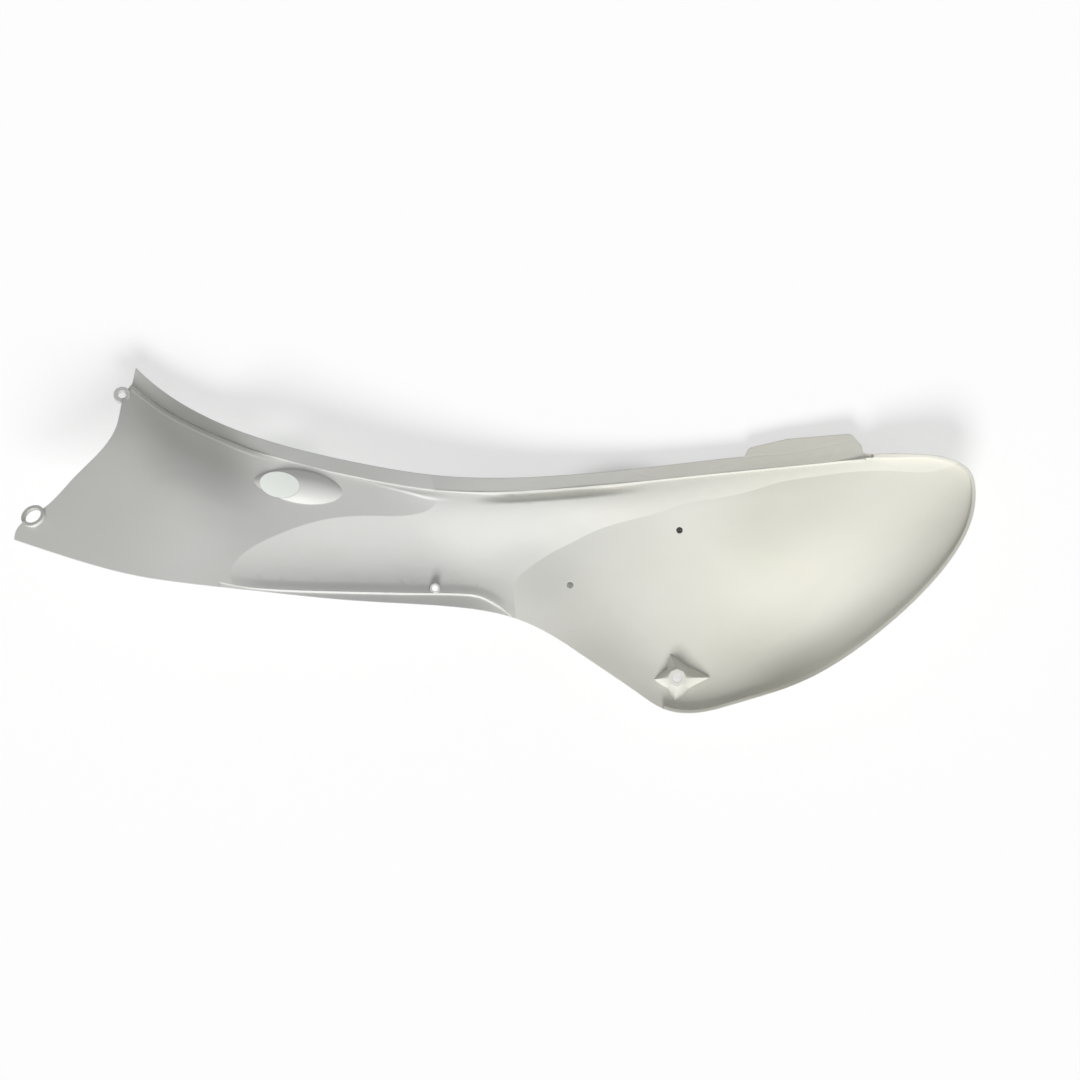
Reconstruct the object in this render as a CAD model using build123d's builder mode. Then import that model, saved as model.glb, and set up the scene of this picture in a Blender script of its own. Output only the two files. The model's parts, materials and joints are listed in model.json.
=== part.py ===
from build123d import *
import math
import os

# Scooter rear side panel, one moulding, lying on its outer face with the hollow inner face up.
# +X runs from the tail to the front of the panel, +Y to the edge that meets the seat, +Z up.

# Size of the whole panel
panel_length = 739.0
panel_width = 268.0
panel_height = 96.6

# Wall and rim
wall = 2.6
rim_height = 7.5
cap_height = 200.0
room_below = 30.0

# Joggled seat flange and its tongue
joggle = 2.0
tongue_round = 5.0

# Thinned lower edge
rebate_depth = 1.2

# Locating pin holes, and the clip hole with its boss
pin_hole_diameter = 5.0
clip_hole_diameter = 4.6
clip_boss_diameter = 8.0
clip_boss_height = 8.0

# Oval hole and the spindle-shaped pocket that leads to it
oval_hole_length = 31.0
oval_hole_width = 20.0
pocket_turn = -9.0
pocket_dip = 7.5
pocket_half_length = 42.0
pocket_radius = 14.5

# Screw boss: a four-pointed star pressed up from the outer face, with a round pit under it
screw_hole_diameter = 7.0
screw_boss_radius = 7.0
screw_boss_height = 12.0
screw_boss_lean = 17.0
screw_pit_radius = 5.0
screw_pit_foot = 8.5
screw_pit_depth = 14.0

# Lugs at the tail end
lug_thickness = 3.0
lug_relief = 1.0
ring_lug_diameter = 19.0
ring_lug_bore = 13.5
ring_lug_turn = 30.0
ring_lug_lean = -40.0
hook_lug_diameter = 13.0
hook_lug_bore = 6.5
hook_lug_turn = 0.0
hook_lug_lean = -25.0

# The lists of points below are drawn at this size and stretched to the panel's own size
drawn_length = 739.0
drawn_width = 268.0
drawn_height = 96.6

# The drawn heights are laid over by this slope, so that the panel lies as it comes to rest
lie_slope = 0.09


def along(x):
    return x * panel_length / drawn_length


def across(y):
    return y * panel_width / drawn_width


def rise(y, z):
    return (z + y * lie_slope) * panel_height / drawn_height


def plan(points):
    return [(along(x), across(y)) for x, y in points]


# Plan outline, clockwise: foot of the seat flange, rim round the bowl, and back along the band and tail
flange_foot = [(-281, 123), (-251, 101.5), (-211, 82), (-177, 69), (-113, 52.5), (-47, 41.5), (8, 40)]
flange_foot += [(91, 46), (173, 54.5), (259, 63), (292, 67)]
bowl_rim = [(292, 67), (325, 67), (350, 63.5), (367, 52), (370, 39.5), (366, 13.5), (346.5, -20.5)]
bowl_rim += [(307, -61.5), (235, -110), (186, -126.5), (150, -134), (129, -130.5)]
bowl_foot = [(129, -130.5), (111, -119.5), (68, -90), (40, -72), (20, -62.5), (8, -58.5)]
front_rim = flange_foot + bowl_rim[1:] + bowl_foot[1:]
band_rim = [(8, -58.5), (-4, -55.5), (-36, -51), (-113, -46), (-190, -38), (-214, -35.5)]
tail_rim = [(-214, -35.5), (-244, -32), (-278, -26.5), (-331, -12), (-369, 0.5)]
tail_end = [(-369, 0.5), (-368, 7), (-347, 25), (-326, 47), (-304, 70), (-293, 89), (-290, 106), (-281, 123)]

# Free edge of the seat flange, and its tongue
flange_edge = [(-280, 134), (-251, 110.5), (-211, 89.5), (-153, 70.5), (-99, 58.5), (-47, 50.5), (3, 48.5)]
flange_edge += [(50, 50.5), (119, 57), (195, 65.5), (292, 67)]
tongue_outline = [(190, 60), (196, 72), (226, 79), (275, 83), (283, 74), (286, 62)]

# Step that thins the lower edge
step_line = [(-212, -32), (-190, -36), (-152, -38.5), (-75, -40.5), (-36, -41), (-14, -43)]
step_line += [(2, -51), (12, -59.5)]
step_side = [(12, -80), (-212, -80)]

# Corners well outside the panel, from the end of the bowl's rim round the tail to its start
open_side = [(124, -160), (-420, -160), (-420, 160), (292, 160)]

# Height of the outer skin on planes across the panel: X of the plane, then Y and Z from low to seat edge
tail_stations = [
    (-469, [(-45, 112), (-10, 96), (22, 80), (60, 60), (85, 46), (110, 30), (150, 7)]),
    (-422, [(-45, 112), (-10, 96), (22, 80), (60, 60), (85, 46), (110, 30), (150, 7)]),
    (-375, [(-45, 111), (-10, 95), (22, 79), (60, 59), (85, 45), (110, 29), (150, 6)]),
    (-328, [(-45, 110), (-10, 94), (20, 79), (60, 58), (85, 44), (110, 28), (150, 4)]),
    (-281, [(-45, 105), (-20, 94), (20, 76), (60, 57), (78, 46.5), (110, 21), (150, -3)]),
    (-245, [(-50, 104), (-25, 94), (16, 79), (40, 68.5), (62, 55), (100, 24.5), (145, 2)]),
    (-210, [(-55, 102), (-30, 91.5), (0, 80), (25, 68.5), (50, 53), (80, 32), (125, 9)]),
    (-167, [(-60, 98), (-20, 81), (4, 70), (24, 60.7), (45, 51.3), (68, 42.5), (115, 24)]),
    (-129, [(-60, 90), (-20, 74), (16.5, 58), (30, 52.3), (42, 47.5), (57, 42), (105, 22)]),
    (-90, [(-60, 84), (-20, 66), (21, 49), (30, 45.5), (38, 42.5), (50, 38.5), (98, 18)]),
    (-50, [(-70, 76), (-20, 54), (10, 43), (27.5, 38), (34, 36.8), (42, 35.2), (92, 13)]),
    (-10, [(-70, 78), (-20, 57), (10, 47), (27.5, 42.5), (34, 41.5), (42, 40), (92, 18)]),
    (30, [(-70, 82), (-20, 61), (10, 51.5), (27.5, 47), (34, 46), (42, 44.5), (92, 23)]),
    (70, [(-70, 87), (-20, 66), (10, 56.5), (27.5, 52), (34, 51), (42, 49.5), (92, 28)]),
]
band_stations = [
    (-370, [(-80, 182), (-41, 152), (-27, 144.5), (-11, 141), (60, 140), (75, 138), (110, 126)]),
    (-310, [(-80, 162), (-41, 132), (-27, 124.5), (-11, 121), (60, 120), (75, 118), (110, 106)]),
    (-250, [(-80, 142), (-41, 112), (-27, 104.5), (-11, 101), (60, 100), (75, 98), (110, 86)]),
    (-190, [(-80, 122), (-41, 92), (-27, 84.5), (-11, 80), (60, 78), (75, 76), (110, 64)]),
    (-130, [(-80, 102), (-44, 76), (-25, 65), (0, 59.3), (40, 57), (55, 55), (100, 42)]),
    (-90, [(-80, 92), (-47, 69), (-24, 55), (0, 50.3), (36, 48.5), (48, 45.5), (95, 27)]),
    (-50, [(-85, 80), (-51, 56), (-22, 39), (0, 36.5), (30, 38.2), (41, 35.8), (90, 14)]),
    (-13, [(-90, 64), (-53, 41), (-29, 29), (-5, 27), (31, 31), (40, 28.6), (88, 8)]),
    (26, [(-95, 30), (-60, 25), (-22, 21.6), (0, 20.7), (31, 24), (40, 21.5), (88, 0.5)]),
    (65, [(-110, 16), (-60, 14.5), (0, 16.3), (15, 18), (31, 20), (41.5, 17.5), (90, -3)]),
    (103, [(-130, 4), (-60, 7), (0, 12.3), (16, 14), (34, 15.5), (46, 13), (95, -8)]),
    (142, [(-150, 0), (-60, 3.5), (0, 8.6), (28, 11), (40, 11.6), (51, 9.8), (100, -10)]),
    (219, [(-150, -3), (-60, 1), (0, 5.3), (45.6, 9), (53, 9.6), (59.5, 8.8), (105, -9)]),
    (296, [(-120, 3), (-60, 6), (0, 10.5), (54.5, 15), (62, 16), (67, 16), (105, 4)]),
    (345, [(-80, 12), (-30, 16), (20, 20.5), (57, 25), (62, 25.6), (66, 26), (105, 18)]),
    (400, [(-80, 26), (-30, 31), (20, 36), (57, 41), (62, 42), (66, 42.5), (105, 38)]),
    (455, [(-80, 40), (-30, 46), (20, 51), (57, 57), (62, 58), (66, 59), (105, 55)]),
]
pod_stations = [
    (-13, [(-150, 60), (-54, 33), (-42, 29), (-30, 26), (-5, 20.5), (30, 15), (100, 2)]),
    (26, [(-150, 66), (-62, 31.5), (-45, 28), (-22, 21.8), (0, 16.5), (20, 12), (100, 0)]),
    (65, [(-150, 64), (-88, 37), (-74, 32), (-55, 27.3), (-20, 20.3), (1.5, 16.5), (100, -2)]),
    (103, [(-160, 56), (-103, 29), (-85, 23), (-62, 18.8), (-20, 16.5), (16, 14), (100, 3)]),
    (142, [(-165, 55), (-134, 31), (-112, 19), (-85, 12.5), (-55, 10.8), (28, 11), (100, 5)]),
    (180, [(-160, 54), (-127, 26), (-100, 13), (-70, 7.2), (-12, 10.4), (34, 9), (100, 4)]),
    (219, [(-150, 62), (-116, 31), (-92, 14.5), (-68, 8.4), (-10, 12.6), (45, 9), (105, 4)]),
    (258, [(-130, 62), (-95, 33), (-77, 20), (-46, 11.5), (0, 14.4), (51, 11), (105, 6)]),
    (296, [(-100, 64), (-70, 41), (-50, 28.8), (-20, 19.2), (15, 17.4), (54.5, 15), (105, 11)]),
    (335, [(-70, 72), (-37, 47), (-20, 37), (5, 27.6), (25, 24), (57, 22), (105, 20)]),
    (370, [(-50, 80), (-15, 59), (5, 50.5), (20, 43.5), (38, 36.5), (57, 33.5), (105, 31)]),
    (405, [(-55, 104), (-15, 82), (5, 71), (20, 60), (38, 51), (57, 45.5), (105, 42)]),
    (440, [(-60, 128), (-15, 105), (5, 91.5), (20, 76.5), (38, 65.5), (57, 57.5), (105, 53)]),
]


def skin_points(section, inset, lift):
    """The section's points moved square to the skin by inset, and then up by lift."""
    points = [(across(y), rise(y, z)) for y, z in section]
    moved = []
    for i, (y, z) in enumerate(points):
        before = points[max(i - 1, 0)]
        after = points[min(i + 1, len(points) - 1)]
        run = after[0] - before[0]
        climb = after[1] - before[1]
        slant = math.hypot(run, climb)
        moved.append((y - inset * climb / slant, z + inset * run / slant + lift))
    return moved


def above_sheet(stations, inset, lift):
    """Everything above one sheet of the skin, lofted through its sections."""
    with BuildPart() as volume:
        for x, section in stations:
            points = skin_points(section, inset, lift)
            top = cap_height + lift
            with BuildSketch(Plane.YZ.offset(along(x))):
                with BuildLine():
                    Spline(*points)
                    Polyline(points[-1], (points[-1][0], top), (points[0][0], top), points[0])
                make_face()
        loft()
    return volume.part


def above_skin(inset=0.0, lift=0.0):
    """Everything above the skin: band and pod meet in a valley, and the tail joins them along a ridge.

    The pod begins at its first plane, and a block fills the room behind it."""
    band = above_sheet(band_stations, inset, lift)
    pod = above_sheet(pod_stations, inset, lift)
    tail = above_sheet(tail_stations, inset, lift)
    with BuildPart() as volume:
        with Locations((along(pod_stations[0][0]), 0, -room_below)):
            Box(panel_length, 2 * panel_width, 2 * cap_height, align=(Align.MAX, Align.CENTER, Align.MIN))
        add(pod)
        add(band, mode=Mode.INTERSECT)
        add(tail)
    return volume.part


# Centres of the features, drawn like the outline
pin_holes = [(57, -34.5), (142, 8)]
clip_centre = (-47.5, -37, 45)
oval_centre = (-167, 43)
pocket_centre = (-150, 38, 44)
screw_centre = (140, -106.5, 18.5)
boss_star = [(26, 0), (8, 10), (-8.5, 27), (-10, 7), (-31, -3), (-9, -10), (-2, -24), (9, -9)]
ring_lug_centre = (-355, 18.5, 83)
hook_lug_centre = (-290, 112.5, 22)


def spot(x, y, z):
    return Vector(along(x), across(y), rise(y, z))


def leaning(centre, turn, lean):
    """A plane at centre whose own X lies level at turn degrees, tipped by lean degrees about it."""
    turn = math.radians(turn)
    lean = math.radians(lean)
    square = Vector(math.sin(lean) * math.sin(turn), -math.sin(lean) * math.cos(turn), math.cos(lean))
    return Plane(origin=spot(*centre), x_dir=(math.cos(turn), math.sin(turn), 0), z_dir=square)


def inward(points, amount):
    """Plan points of the rim moved square to it, to the inside, by amount."""
    moved = []
    for i, (x, y) in enumerate(points):
        before = points[max(i - 1, 0)]
        after = points[min(i + 1, len(points) - 1)]
        run = after[0] - before[0]
        climb = after[1] - before[1]
        slant = math.hypot(run, climb)
        moved.append((x + amount * climb / slant, y - amount * run / slant))
    return moved


def panel_outline():
    """Plan of the panel without its seat flange."""
    with BuildSketch() as outline:
        with BuildLine():
            Spline(*plan(front_rim))
            Spline(*plan(band_rim))
            Spline(*plan(tail_rim))
            Spline(*plan(tail_end))
        make_face()
    return outline.sketch


outer = above_skin()
ground = Plane.XY.offset(-room_below)
full_height = cap_height + room_below

# Room above the wall, shut in by the rim round the bowl and open everywhere else
with BuildPart() as hollow:
    with BuildSketch(ground):
        with BuildLine():
            inner_rim = inward(plan(bowl_rim), wall)
            Spline(*inner_rim)
            Polyline(inner_rim[-1], *plan(open_side), inner_rim[0])
        make_face()
    extrude(amount=full_height)
    add(above_skin(inset=wall), mode=Mode.INTERSECT)

# Step that thins the lower edge from the inner side
with BuildPart() as rebate:
    with BuildSketch(ground):
        with BuildLine():
            Spline(*plan(step_line))
            Polyline(*plan([step_line[-1], *step_side, step_line[0]]))
        make_face()
    extrude(amount=full_height)
    add(above_skin(inset=wall - rebate_depth), mode=Mode.INTERSECT)

# Tongue on the seat flange
with BuildSketch(ground) as tongue:
    with BuildLine():
        Polyline(*plan(tongue_outline), close=True)
    make_face()
    fillet(tongue.vertices().sort_by(Axis.Y)[-4:], tongue_round)

# Seat flange, stepped in from the skin
with BuildPart() as flange:
    with BuildSketch(ground):
        with BuildLine():
            Spline(*plan(flange_edge))
            root = inward(plan(flange_foot), wall)
            Spline(*root)
            Line(plan(flange_edge)[0], root[0])
            Line(plan(flange_edge)[-1], root[-1])
        make_face()
        add(tongue.sketch)
    extrude(amount=full_height)
    add(above_skin(lift=joggle), mode=Mode.INTERSECT)
    add(above_skin(inset=wall, lift=joggle), mode=Mode.SUBTRACT)


def spindle(radius):
    """A spindle along the pocket, pointed at both ends."""
    turn = math.radians(pocket_turn)
    way = Vector(math.cos(turn), math.sin(turn), -math.tan(math.radians(pocket_dip))).normalized()
    half = pocket_half_length * radius / pocket_radius
    middle = spot(*pocket_centre)
    with BuildPart() as solid:
        with BuildSketch(Plane(origin=middle, x_dir=way, z_dir=way.cross(Vector(0, 0, 1)))):
            with BuildLine():
                ThreePointArc((-half, 0), (0, radius), (half, 0))
                Line((half, 0), (-half, 0))
            make_face()
        revolve(axis=Axis(middle, way))
    return solid.part


# Bosses that stand on the skin, kept to the inner side of it
screw_top = Plane(origin=spot(*screw_centre)).offset(screw_boss_height)
with BuildPart() as bosses:
    with BuildSketch(Plane(origin=spot(*screw_centre)).rotated((-screw_boss_lean, 0, 0))):
        Polygon(*boss_star, align=None)
    with BuildSketch(screw_top):
        RegularPolygon(screw_boss_radius, len(boss_star))
    loft(ruled=True)
    add(spindle(pocket_radius + wall))
    with Locations(spot(*clip_centre)):
        Cylinder(clip_boss_diameter / 2, clip_boss_height, align=(Align.CENTER, Align.CENTER, Align.MIN))
    add(outer, mode=Mode.INTERSECT)

with BuildPart() as side_panel:
    with BuildSketch(ground):
        add(panel_outline())
    extrude(amount=full_height)
    add(outer, mode=Mode.INTERSECT)
    add(above_skin(lift=rim_height), mode=Mode.SUBTRACT)
    add(hollow.part, mode=Mode.SUBTRACT)
    add(rebate.part, mode=Mode.SUBTRACT)
    add(flange.part)
    add(bosses.part)
    ring_lug = leaning(ring_lug_centre, ring_lug_turn, ring_lug_lean)
    hook_lug = leaning(hook_lug_centre, hook_lug_turn, hook_lug_lean)

    # The skin is cut away round each lug's bore before the lug is set on it
    for lug, bore in ((ring_lug, ring_lug_bore), (hook_lug, hook_lug_bore)):
        with BuildSketch(lug):
            Circle(bore / 2 + lug_relief)
        extrude(amount=2 * lug_thickness, both=True, mode=Mode.SUBTRACT)
    for lug, diameter, bore in (
        (ring_lug, ring_lug_diameter, ring_lug_bore),
        (hook_lug, hook_lug_diameter, hook_lug_bore),
    ):
        with BuildSketch(lug):
            Circle(diameter / 2)
            Circle(bore / 2, mode=Mode.SUBTRACT)
        extrude(amount=lug_thickness / 2, both=True)

    # Pockets and holes
    add(spindle(pocket_radius), mode=Mode.SUBTRACT)
    with Locations(screw_top.offset(-wall)):
        Cone(screw_pit_foot, screw_pit_radius, screw_pit_depth,
             align=(Align.CENTER, Align.CENTER, Align.MAX), mode=Mode.SUBTRACT)
    with BuildSketch(ground):
        with Locations(plan([oval_centre])[0]):
            Ellipse(oval_hole_length / 2, oval_hole_width / 2, rotation=pocket_turn)
        with Locations(plan([screw_centre[:2]])[0]):
            Circle(screw_hole_diameter / 2)
        with Locations(plan([clip_centre[:2]])[0]):
            Circle(clip_hole_diameter / 2)
        with Locations(plan(pin_holes)):
            Circle(pin_hole_diameter / 2)
    extrude(amount=full_height, mode=Mode.SUBTRACT)

# The frame stands at the middle of the panel's box, on the surface that it lies on
box = side_panel.part.bounding_box()
middle = Vector(box.center().X, box.center().Y, box.min.Z)
side_panel.part = side_panel.part.moved(Location(-middle))
side_panel.part.label = "side_panel"
os.makedirs("parts", exist_ok=True)
export_step(side_panel.part, "parts/side_panel.step")
print(side_panel.part.volume, side_panel.part.is_valid, len(side_panel.part.solids()), middle)
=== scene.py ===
"""The scooter side panel as the photograph shows it: visual shell, plastic, floor, light and camera."""
import json
import math

import bpy
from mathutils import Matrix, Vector
from mathutils.bvhtree import BVHTree

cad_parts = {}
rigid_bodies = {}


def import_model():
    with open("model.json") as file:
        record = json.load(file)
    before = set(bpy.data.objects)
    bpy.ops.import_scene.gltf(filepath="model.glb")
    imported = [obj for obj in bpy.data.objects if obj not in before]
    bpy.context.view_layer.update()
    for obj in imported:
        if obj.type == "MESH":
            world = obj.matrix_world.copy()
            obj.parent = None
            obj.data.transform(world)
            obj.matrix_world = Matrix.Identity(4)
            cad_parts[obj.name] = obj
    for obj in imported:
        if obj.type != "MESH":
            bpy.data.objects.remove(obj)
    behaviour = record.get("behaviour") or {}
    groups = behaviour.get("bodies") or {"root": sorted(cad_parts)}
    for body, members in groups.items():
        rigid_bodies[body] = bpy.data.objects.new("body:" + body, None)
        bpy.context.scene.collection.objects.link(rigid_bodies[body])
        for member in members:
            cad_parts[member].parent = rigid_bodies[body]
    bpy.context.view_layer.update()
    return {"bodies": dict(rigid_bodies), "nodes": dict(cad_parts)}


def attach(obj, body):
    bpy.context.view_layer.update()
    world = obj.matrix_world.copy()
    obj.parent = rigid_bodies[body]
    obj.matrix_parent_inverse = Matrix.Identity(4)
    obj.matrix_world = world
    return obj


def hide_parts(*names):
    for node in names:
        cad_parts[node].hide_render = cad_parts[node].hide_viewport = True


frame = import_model()
panel = frame["nodes"]["side_panel"]
mm = 0.001

# The picture is square and taken from straight above; its width is measured at the picture plane
photo_width = 0.835
camera_height = 5.5
picture_plane = 0.04
picture_centre = (0.0331, 0.0004)
sensor = 36.0

# Light: an even white room and one large soft lamp on the lower side of the picture
room_strength = 0.34
lamp_strength = 3.0
lamp_lean = 47.0
lamp_softness = 26.0

# Floor: glow is the share of plain white; it is left out under the bowl, so the floor's own shade shows there,
# and it is greyer under the oval hole, a painted shade
floor_half = 12.0
floor_tone = 0.96
floor_glow = 0.62
bowl_shade = ((0.099, -0.013), 0, (0.09, 0.09))
oval_shade = ((-0.168, 0.043), 0, (0.05, 0.05))
white = (1, 1, 1, 1)
shaded_glow_under_oval = (0.74, 0.79, 0.74, 1)

# Plastic: its colours, and painted shade and light in broad patches as middle, turn in degrees, reach, colour
# and kind of mixing
tail_grey = (0.68, 0.682, 0.662, 1)
bowl_warm = (0.752, 0.742, 0.668, 1)
warm_from, warm_to = -0.06, 0.26
cloud_tint = (0.94, 0.94, 0.90, 1)
streak_tint = (0.90, 0.91, 0.87, 1)
speck_tint = (0.86, 0.85, 0.80, 1)
# Paler colour of the edges: partly wear, partly a painted highlight
worn_and_lit_edge = (0.85, 0.85, 0.82, 1)
# Painted shade on the tail beside the seat flange, painted shade along the seat flange and its tongue, and
# painted light, paler and warmer, in the lower right of the bowl
painted_shade_and_light = [
    ((-0.2345, 0.0844), -35.8, (0.085, 0.030), (0.84, 0.84, 0.83, 1), "MULTIPLY"),
    ((0.16, 0.048), 6.0, (0.17, 0.024), (0.93, 0.93, 0.93, 1), "MULTIPLY"),
    ((0.295, -0.062), 42.0, (0.095, 0.055), (0.88, 0.87, 0.79, 1), "MIX"),
]
edge_radius = 0.0009
plastic_ior = 1.47
plastic_shine = 0.4


def set_inputs(shader_node, **values):
    """Input values of a shader node, by name."""
    for name, value in values.items():
        shader_node.inputs[name.replace("_", " ")].default_value = value
    return shader_node


def new_material(name):
    """A material with its node tree and its main shader."""
    material = bpy.data.materials.new(name)
    material.use_nodes = True
    return material, material.node_tree, material.node_tree.nodes["Principled BSDF"]


def add_node(tree, kind, **values):
    """A new node of the tree with input values, by name."""
    return set_inputs(tree.nodes.new(kind), **values)


def add_object(name, data):
    """An object in the scene."""
    made = bpy.data.objects.new(name, data)
    bpy.context.scene.collection.objects.link(made)
    return made


def combine(tree, operation, first, second):
    """Two values of the tree joined by a maths operation."""
    made = tree.nodes.new("ShaderNodeMath")
    made.operation = operation
    tree.links.new(first, made.inputs[0])
    tree.links.new(second, made.inputs[1])
    return made.outputs["Value"]


def ramp(tree, source, low, high, to_low=0.0, to_high=1.0):
    """A value of the tree moved from one range to another, smoothly."""
    made = add_node(tree, "ShaderNodeMapRange", From_Min=low, From_Max=high, To_Min=to_low, To_Max=to_high)
    made.interpolation_type = "SMOOTHSTEP"
    tree.links.new(source, made.inputs["Value"])
    return made.outputs["Result"]


def blend(tree, factor, first, second, kind="MIX"):
    """Two colours mixed; each is a colour or an output of the tree."""
    made = tree.nodes.new("ShaderNodeMix")
    made.data_type = "RGBA"
    made.blend_type = kind
    tree.links.new(factor, made.inputs["Factor"])
    for socket, value in ((made.inputs[6], first), (made.inputs[7], second)):
        if isinstance(value, tuple):
            socket.default_value = value
        else:
            tree.links.new(value, socket)
    return made.outputs[2]


def patch(tree, place, middle, turn, reach):
    """1 in the middle of an oval in plan and 0 outside it."""
    way = tree.nodes.new("ShaderNodeMapping")
    way.vector_type = "TEXTURE"
    way.inputs["Location"].default_value = (middle[0], middle[1], 0)
    way.inputs["Rotation"].default_value = (0, 0, math.radians(turn))
    way.inputs["Scale"].default_value = (reach[0], reach[1], 1000)
    tree.links.new(place, way.inputs["Vector"])
    size = tree.nodes.new("ShaderNodeVectorMath")
    size.operation = "LENGTH"
    tree.links.new(way.outputs["Vector"], size.inputs[0])
    return ramp(tree, size.outputs["Value"], 0.35, 1.0, 1.0, 0.0)


def plastic():
    """Unpainted light grey moulded plastic: neutral at the tail, warmer in the bowl, with paler edges that are
    partly wear and partly a painted highlight, and broad patches of painted shade and light.
    """
    material, tree, shader = new_material("moulded_plastic")
    link = tree.links.new
    place = tree.nodes.new("ShaderNodeTexCoord").outputs["Object"]
    parts = tree.nodes.new("ShaderNodeSeparateXYZ")
    link(place, parts.inputs[0])

    def noise(scale, detail, stretch=(1, 1, 1)):
        """Cloudy noise, stretched along an axis where its scale is small."""
        way = tree.nodes.new("ShaderNodeMapping")
        way.inputs["Scale"].default_value = stretch
        link(place, way.inputs["Vector"])
        made = add_node(tree, "ShaderNodeTexNoise", Scale=scale, Detail=detail, Roughness=0.55)
        link(way.outputs["Vector"], made.inputs["Vector"])
        return made.outputs["Fac"]

    # Colour: the base, clouds, streaks, specks, and the broad patches of painted shade and light
    clouds = ramp(tree, noise(7.0, 3.0), 0.40, 0.75, 0.0, 0.55)
    streaks = ramp(tree, noise(16.0, 4.0, (0.5, 1, 1)), 0.45, 0.80, 0.0, 0.35)
    specks = ramp(tree, noise(420.0, 2.0), 0.62, 0.80, 0.0, 0.25)
    colour = blend(tree, ramp(tree, parts.outputs["X"], warm_from, warm_to), tail_grey, bowl_warm)
    colour = blend(tree, clouds, colour, cloud_tint, "MULTIPLY")
    colour = blend(tree, streaks, colour, streak_tint, "MULTIPLY")
    colour = blend(tree, specks, colour, speck_tint, "MULTIPLY")
    for middle, turn, reach, tone, kind in painted_shade_and_light:
        colour = blend(tree, patch(tree, place, middle, turn, reach), colour, tone, kind)

    # Rounded, paler edges: partly wear where the moulding has been handled, partly a painted highlight along
    # the edges
    rounded = add_node(tree, "ShaderNodeBevel", Radius=edge_radius)
    rounded.samples = 6
    geometry = tree.nodes.new("ShaderNodeNewGeometry")
    alike = tree.nodes.new("ShaderNodeVectorMath")
    alike.operation = "DOT_PRODUCT"
    link(rounded.outputs["Normal"], alike.inputs[0])
    link(geometry.outputs["Normal"], alike.inputs[1])
    edges = ramp(tree, alike.outputs["Value"], 0.97, 0.80)
    wear_and_highlight = combine(tree, "MULTIPLY", edges, ramp(tree, noise(60.0, 3.0), 0.35, 0.65, 0.2, 0.8))
    link(blend(tree, wear_and_highlight, colour, worn_and_lit_edge), shader.inputs["Base Color"])

    link(ramp(tree, noise(30.0, 4.0, (0.4, 1, 1)), 0.30, 0.75, 0.46, 0.60), shader.inputs["Roughness"])
    shader.inputs["IOR"].default_value = plastic_ior
    shader.inputs["Specular IOR Level"].default_value = plastic_shine

    # Bump: slight waves of the moulding, and its grain
    grain = add_node(tree, "ShaderNodeBump", Strength=0.10, Distance=0.0003)
    link(noise(1300.0, 2.0), grain.inputs["Height"])
    waves = add_node(tree, "ShaderNodeBump", Strength=0.20, Distance=0.0012)
    link(noise(22.0, 2.0), waves.inputs["Height"])
    link(rounded.outputs["Normal"], waves.inputs["Normal"])
    link(waves.outputs["Normal"], grain.inputs["Normal"])
    link(grain.outputs["Normal"], shader.inputs["Normal"])
    return material


moulded = plastic()
cad_skin = BVHTree.FromObject(panel, bpy.context.evaluated_depsgraph_get())

# Lines of the moulding in plan, from the tail to the front, in mm: the foot of the seat flange
flange_foot = [(-282.8, 121.1), (-252.9, 99.3), (-212.7, 79.7), (-178.4, 66.6), (-114.1, 50.0), (-47.8, 38.9)]
flange_foot += [(7.4, 37.4), (90.3, 43.4), (172.2, 51.9), (258.3, 60.4), (291.5, 64.4)]
# Step of the lower edge
step_line = [(-212.5, -32.0), (-190.5, -36.0), (-152.5, -38.5), (-75.5, -40.5), (-36.5, -41.0), (-14.5, -43.0)]
step_line += [(1.5, -51.0), (9.0, -56.8)]
# Light fold of the tail, beside the seat flange
tail_fold = [(-176.0, 67.5), (-152.7, 60.0), (-126.4, 53.2), (-99.4, 45.6), (-73.0, 38.6)]
tail_fold += [(-53.0, 33.2), (-33.0, 31.0)]

# Folds that the shell adds, in mm and degrees. A pair is the stretch over which a fold comes in or
# fades out: in x where it is named along, and otherwise beside the fold's line, above 0 on the seat side
flange_tilt = math.tan(math.radians(18.0))
tail_tilt = math.tan(math.radians(13.0))
front_in_along = (-60, -5)
front_out_along = (284, 294)
tail_in_along = (-270, -240)
flange_in = (0, 1.5)
cut_edge_from = 4
groove_depth = 5.2
groove_in_along = (-22, 12)
groove_out_along = (55, 125)
groove_fall = (-9.0, -2.2)
groove_rise = (-1.5, 0.0)
tail_line_depth = 1.3
tail_line_fall = (-0.7, 0.9)
tail_line_rise = (1.0, 14.0)
tail_ridge_height = 0.35
tail_ridge_rise = (-4.6, -3.4)
tail_ridge_fall = (-3.0, 0.5)
tail_lines_out_along = (-195, -165)
hollow_depth = 4.5
hollow_in_along = (-286, -252)
hollow_out_along = (-225, -165)
hollow_fall = (-50, -8)
fold_height = 1.0
fold_fade_along = 25
fold_rise = (-1.6, 0.8)
fold_fall = (-5.0, -0.5)
swell_height = 1.2
swell_in_along = 40
swell_out_along = 12
swell_rise = (-1.4, 0.2)
swell_fall = (0.6, 8.0)
slope_gap = 0.15

# The clip's nub is lowered: its place in plan, its foot's height, its reach and the share that stays
nub_place = (-48.0, -37.0)
nub_foot = 43.8
nub_reach = 4.2
nub_share = 0.45

# Longest edges of the refined mesh, in mm
edge_at_lines = 1.3
edge_at_step = 1.5
edge_at_flange = 2.6
edge_at_hollow = 5.0
edge_elsewhere = 1000.0
tail_end = -160


def rise_of(value, low, high):
    """0 below low, 1 above high, and smooth between."""
    t = min(1.0, max(0.0, (value - low) / (high - low)))
    return t * t * (3 - 2 * t)


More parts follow.
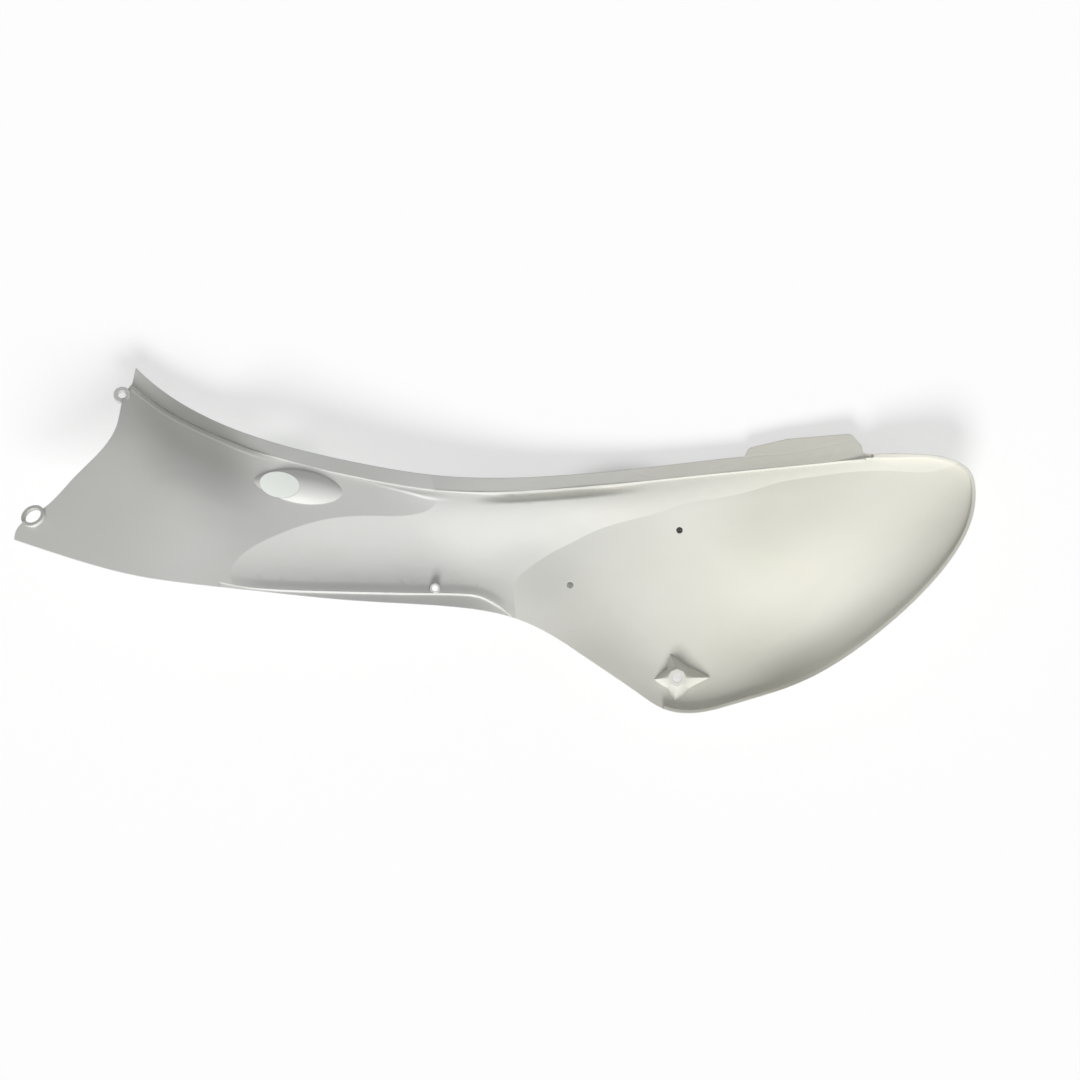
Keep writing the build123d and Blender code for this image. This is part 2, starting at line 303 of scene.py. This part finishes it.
def into(value, stretch):
    """0 before a stretch and 1 after it."""
    return rise_of(value, stretch[0], stretch[1])


def out_of(value, stretch):
    """1 before a stretch and 0 after it."""
    return 1 - rise_of(value, stretch[0], stretch[1])


def smooth(points, spacing=0.004):
    """Places along a smooth line through points, about a spacing apart."""
    line = []
    for i in range(len(points) - 1):
        a, b = Vector(points[i]), Vector(points[i + 1])
        before = Vector(points[i - 1]) if i else a
        after = Vector(points[i + 2]) if i + 2 < len(points) else b
        count = max(2, round((b - a).length / spacing))
        for k in range(count):
            t = k / count
            line.append(0.5 * (2 * a + (b - before) * t + (2 * before - 5 * a + 4 * b - after) * t ** 2
                               + (3 * a - before - 3 * b + after) * t ** 3))
    line.append(Vector(points[-1]))
    return line


class Line:
    """A line in plan that runs from the tail to the front."""

    def __init__(self, points):
        self.places = smooth(points, 2.0)
        self.start, self.end = self.places[0].x, self.places[-1].x

    def at(self, x):
        """Y of the line and its slope at x."""
        places = self.places
        x = min(max(x, self.start + 0.01), self.end - 0.01)
        low, high = 0, len(places) - 1
        while high - low > 1:
            middle = (low + high) // 2
            if places[middle].x <= x:
                low = middle
            else:
                high = middle
        a, b = places[low], places[high]
        slope = (b.y - a.y) / (b.x - a.x)
        return a.y + slope * (x - a.x), slope

    def beyond(self, x, y):
        """How far a place lies beyond the line, to the seat side."""
        line_y, slope = self.at(x)
        return (y - line_y) / math.sqrt(1 + slope * slope)


foot = Line(flange_foot)
fold = Line(tail_fold)
step = Line(step_line)


def cad_top(x, y):
    """Height of the CAD panel's inner side, in mm, or None beside it."""
    hit = cad_skin.ray_cast(Vector((x * mm, y * mm, 1.0)), Vector((0, 0, -1)))[0]
    return hit.z / mm if hit else None


def edge_top(x, y):
    """The same on the flange, also at its cut edge, where a single ray can pass the inner side."""
    here, near, far = cad_top(x, y), cad_top(x, y - 0.8), cad_top(x, y - 1.6)
    if near is None or far is None:
        return here or near
    guess = 2 * near - far
    return guess if here is None or abs(here - guess) > 1.0 else here


def flange_heights():
    """Height of the flange just beyond its foot, evened out along it."""
    places = [(x, cad_top(x, foot.at(x)[0] + 1.2)) for x in range(-70, 290, 6)]
    places = [(x, z) for x, z in places if z is not None]
    evened = []
    for i, (x, _) in enumerate(places):
        near = [z for _, z in places[max(0, i - 4):i + 5]]
        evened.append((x, sum(near) / len(near)))
    return Line(evened)


flange_top = flange_heights()


def lift(x, y):
    """How far the wall moves up at a place, in mm, so that its folds are those of the photograph."""
    t = foot.beyond(x, y)
    if not foot.start - 4 < x < foot.end + 4:
        return 0.0
    amount = 0.0

    # The flange tilts down from its foot
    front = into(x, front_in_along) * out_of(x, front_out_along)
    if t > 0:
        amount -= tail_tilt * t * out_of(x, front_in_along) * into(x, tail_in_along)
        if front > 0:
            here = edge_top(x, y) if t > cut_edge_from else cad_top(x, y)
            if here is not None:
                amount += front * into(t, flange_in) * (flange_top.at(x)[0] - flange_tilt * t - here)

    # Groove under the seat edge, then the tail's dark line, light ridge and soft hollow
    groove = into(x, groove_in_along) * out_of(x, groove_out_along)
    amount -= groove_depth * groove * into(t, groove_fall) * out_of(t, groove_rise)
    tail = out_of(x, tail_lines_out_along)
    amount -= tail_line_depth * tail * into(t, tail_line_fall) * out_of(t, tail_line_rise)
    amount += tail_ridge_height * tail * into(t, tail_ridge_rise) * out_of(t, tail_ridge_fall)
    hollow = into(x, hollow_in_along) * out_of(x, hollow_out_along)
    amount -= hollow_depth * hollow * into(t, hollow_fall)

    # Light fold beside the oval hole, and the swell above the lower edge's step
    if fold.start < x < fold.end:
        along = rise_of(x, fold.start, fold.start + fold_fade_along)
        along *= 1 - rise_of(x, fold.end - fold_fade_along, fold.end)
        amount += fold_height * along * into(fold.beyond(x, y), fold_rise) * out_of(t, fold_fall)
    if step.start < x < step.end:
        s = step.beyond(x, y)
        along = rise_of(x, step.start, step.start + swell_in_along)
        along *= 1 - rise_of(x, step.end - swell_out_along, step.end)
        amount += swell_height * along * into(s, swell_rise) * out_of(s, swell_fall)
    return amount


def fineness(x, y):
    """Longest edge that a place of the refined mesh may have, in mm."""
    t = foot.beyond(x, y)
    if step.start - 2 < x < step.end + 4 and -16 < step.beyond(x, y) < 9:
        return edge_at_step
    if not foot.start - 6 < x < foot.end + 6 or t < -54 or (x > tail_end and t < -16):
        return edge_elsewhere
    if t < -16:
        return edge_at_hollow
    beside_fold = fold.start < x < fold.end and abs(fold.beyond(x, y)) < 3
    if abs(t) < (7 if x < tail_end else 4) or beside_fold:
        return edge_at_lines
    return edge_at_flange


def refine(places, normals, triangles):
    """The triangles with their long edges halved; new places and normals are added to the lists."""
    middles = {}

    def middle_of(a, b):
        """Number of the place halfway along an edge, or None where the edge is short enough."""
        key = (min(a, b), max(a, b))
        if key not in middles:
            centre = (places[a] + places[b]) / 2
            if (places[a] - places[b]).length <= fineness(centre.x, centre.y):
                middles[key] = None
            else:
                middles[key] = len(places)
                places.append(centre)
                normals.append((normals[a] + normals[b]).normalized())
        return middles[key]

    finer = []
    for a, b, c in triangles:
        ab, bc, ca = middle_of(a, b), middle_of(b, c), middle_of(c, a)
        cut = [m is not None for m in (ab, bc, ca)]
        if not any(cut):
            finer.append((a, b, c))
            continue
        while not cut[0] or (sum(cut) == 2 and not cut[1]):
            a, b, c, ab, bc, ca = b, c, a, bc, ca, ab
            cut = cut[1:] + cut[:1]
        if sum(cut) == 1:
            finer += [(a, ab, c), (ab, b, c)]
        elif sum(cut) == 2:
            finer += [(ab, b, bc), (a, ab, bc), (a, bc, c)]
        else:
            finer += [(a, ab, ca), (ab, b, bc), (ca, bc, c), (ab, bc, ca)]
    return finer


def refined_shell():
    """The panel's mesh with more points along its lines, its wall moved there, and its own shading kept."""
    mesh = panel.data
    places = [vertex.co / mm for vertex in mesh.vertices]
    normals = [None] * len(places)
    for loop, corner in zip(mesh.loops, mesh.corner_normals):
        normals[loop.vertex_index] = corner.vector.copy()
    triangles = [tuple(face.vertices) for face in mesh.polygons]
    for _ in range(6):
        count = len(triangles)
        triangles = refine(places, normals, triangles)
        if len(triangles) == count:
            break
    moved = []
    for i, (x, y, z) in enumerate(places):
        amount = lift(x, y)
        if math.hypot(x - nub_place[0], y - nub_place[1]) < nub_reach and z > nub_foot:
            z = nub_foot + nub_share * (z - nub_foot)
        moved.append(Vector((x, y, z + amount)) * mm)
        if amount:
            slope_x = (lift(x + slope_gap, y) - lift(x - slope_gap, y)) / (2 * slope_gap)
            slope_y = (lift(x, y + slope_gap) - lift(x, y - slope_gap)) / (2 * slope_gap)
            n = normals[i]
            normals[i] = Vector((n.x - n.z * slope_x, n.y - n.z * slope_y, n.z)).normalized()
    shell_mesh = bpy.data.meshes.new("side_panel_shell")
    shell_mesh.from_pydata(moved, [], triangles)
    for face in shell_mesh.polygons:
        face.use_smooth = True
    shell_mesh.normals_split_custom_set_from_vertices(normals)
    shell_mesh.materials.append(moulded)
    return add_object("side_panel_shell", shell_mesh)


shell = refined_shell()
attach(shell, list(frame["bodies"])[0])
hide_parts("side_panel")
skin = BVHTree.FromObject(shell, bpy.context.evaluated_depsgraph_get())


def top(x, y):
    """Height of the shell's inner side at a place in plan, in metres, or None beside the shell."""
    hit = skin.ray_cast(Vector((x, y, 1.0)), Vector((0, 0, -1)))[0]
    return hit.z if hit else None


def bead(name, points, outside, inside, thick=0.0008, fade=8):
    """A thin sloping strip along a line: its edges lie outside and inside, to the line's left and right."""
    line = smooth([(x * mm, y * mm) for x, y in points])
    clear = 0.0001
    rows = []
    for i, here in enumerate(line):
        way = (line[min(i + 1, len(line) - 1)] - line[max(i - 1, 0)]).normalized()
        left = Vector((-way.y, way.x))
        full = min(1.0, (min(i, len(line) - 1 - i) + 1) / fade)
        a = here + left * outside * full
        b = here - left * inside * full
        height_a, height_b = top(a.x, a.y), top(b.x, b.y)
        if height_a is None or height_b is None:
            continue
        rows.append([(a.x, a.y, height_a + clear), (b.x, b.y, height_b + clear),
                     (b.x, b.y, height_b - thick), (a.x, a.y, height_a - thick)])
    vertices = [corner for row in rows for corner in row]
    faces = []
    for i in range(len(rows) - 1):
        for k in range(4):
            j = (k + 1) % 4
            faces.append((4 * i + k, 4 * i + j, 4 * i + 4 + j, 4 * i + 4 + k))
    last = 4 * (len(rows) - 1)
    faces += [(3, 2, 1, 0), (last, last + 1, last + 2, last + 3)]
    mesh = bpy.data.meshes.new(name)
    mesh.from_pydata(vertices, [], faces)
    mesh.materials.append(moulded)
    piece = add_object(name, mesh)
    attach(piece, list(frame["bodies"])[0])
    return piece


# In the tail the flange's foot has no fillet, and the step runs out at its rear end
bead("seat_edge_fillet", flange_foot[5:], 0.0004, 0.0012)
bead("lower_edge_fillet", step_line[1:], 0.0004, 0.0013)

# Floor
floor_mesh = bpy.data.meshes.new("floor")
floor_corners = [(-floor_half, -floor_half, 0), (floor_half, -floor_half, 0)]
floor_corners += [(floor_half, floor_half, 0), (-floor_half, floor_half, 0)]
floor_mesh.from_pydata(floor_corners, [], [(0, 1, 2, 3)])
floor = add_object("floor", floor_mesh)
floor_material, floor_tree, floor_shader = new_material("pale_floor")
floor_link = floor_tree.links.new
floor_grey = (floor_tone, floor_tone, floor_tone, 1)
set_inputs(floor_shader, Base_Color=floor_grey, Roughness=0.9, Specular_IOR_Level=0.0)
glow = add_node(floor_tree, "ShaderNodeEmission", Strength=1.0)
rays = floor_tree.nodes.new("ShaderNodeLightPath")
seen = combine(floor_tree, "MAXIMUM", rays.outputs["Is Camera Ray"], rays.outputs["Is Glossy Ray"])
seen = combine(floor_tree, "MAXIMUM", seen, rays.outputs["Is Transmission Ray"])
floor_place = floor_tree.nodes.new("ShaderNodeTexCoord").outputs["Object"]
# Painted shade: a greyer glow under the oval hole; under the bowl the glow is left out
under_bowl = patch(floor_tree, floor_place, *bowl_shade)
under_oval = patch(floor_tree, floor_place, *oval_shade)
share = combine(floor_tree, "MULTIPLY", seen, ramp(floor_tree, under_bowl, 0.0, 0.7, floor_glow, 0.0))
floor_link(blend(floor_tree, under_oval, white, shaded_glow_under_oval), glow.inputs["Color"])
floor_mix = floor_tree.nodes.new("ShaderNodeMixShader")
floor_link(share, floor_mix.inputs["Fac"])
floor_link(floor_shader.outputs["BSDF"], floor_mix.inputs[1])
floor_link(glow.outputs["Emission"], floor_mix.inputs[2])
floor_link(floor_mix.outputs["Shader"], floor_tree.nodes["Material Output"].inputs["Surface"])
floor_mesh.materials.append(floor_material)

# Lamp and room
lamp_data = bpy.data.lights.new("soft_lamp", "SUN")
lamp_data.energy = lamp_strength
lamp_data.angle = math.radians(lamp_softness)
lamp = add_object("soft_lamp", lamp_data)
lamp.rotation_euler = (math.radians(lamp_lean), 0, 0)
world = bpy.data.worlds.new("room")
world.use_nodes = True
set_inputs(world.node_tree.nodes["Background"], Color=white, Strength=room_strength)
bpy.context.scene.world = world

# Camera
camera_data = bpy.data.cameras.new("camera")
camera_data.sensor_width = sensor
camera_data.lens = sensor * camera_height / photo_width
camera = add_object("camera", camera_data)
camera.location = (picture_centre[0], picture_centre[1], picture_plane + camera_height)
bpy.context.scene.camera = camera
bpy.context.scene.view_settings.view_transform = "Standard"
